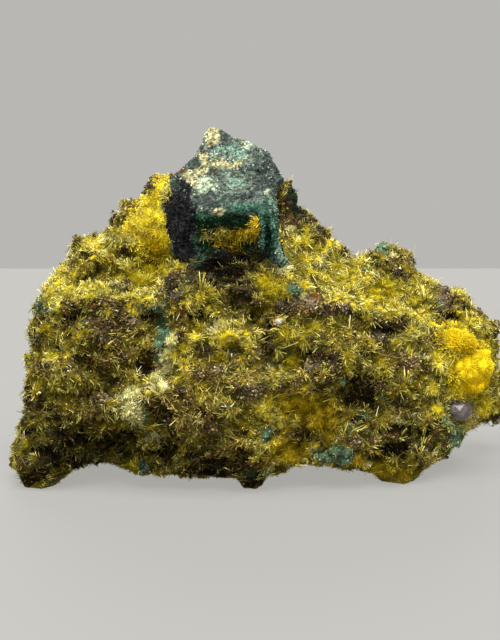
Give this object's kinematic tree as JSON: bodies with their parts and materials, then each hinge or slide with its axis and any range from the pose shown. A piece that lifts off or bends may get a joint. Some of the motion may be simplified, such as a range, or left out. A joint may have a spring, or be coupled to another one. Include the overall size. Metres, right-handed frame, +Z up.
{
  "type": "uranophane and malachite specimen",
  "caption": "Wedge-shaped rock bristling with yellow needle crystals, with a grey-green malachite-coated knob standing on its top",
  "frame": {"origin": "On the ground, under the middle of the specimen's bounding box.", "axes": "+Z is up and -Y is the front that the picture shows. +X runs along the length, to the right as seen from the front."},
  "size_m": [0.0634, 0.0348, 0.0436],
  "materials": {
    "dark_ore": "rough, bristling with crystals",
    "malachite": "granular, dull",
    "uranophane": "velvety, silky",
    "heterogenite": "smooth, glossy"
  },
  "bodies": {
    "root": {"matrix": "dark_ore", "malachite_knob": "malachite", "uranophane_cushion_left": "uranophane", "uranophane_cushion_right": "uranophane", "uranophane_cushion_small": "uranophane", "heterogenite_nub": "heterogenite"}
  },
  "joints": []
}
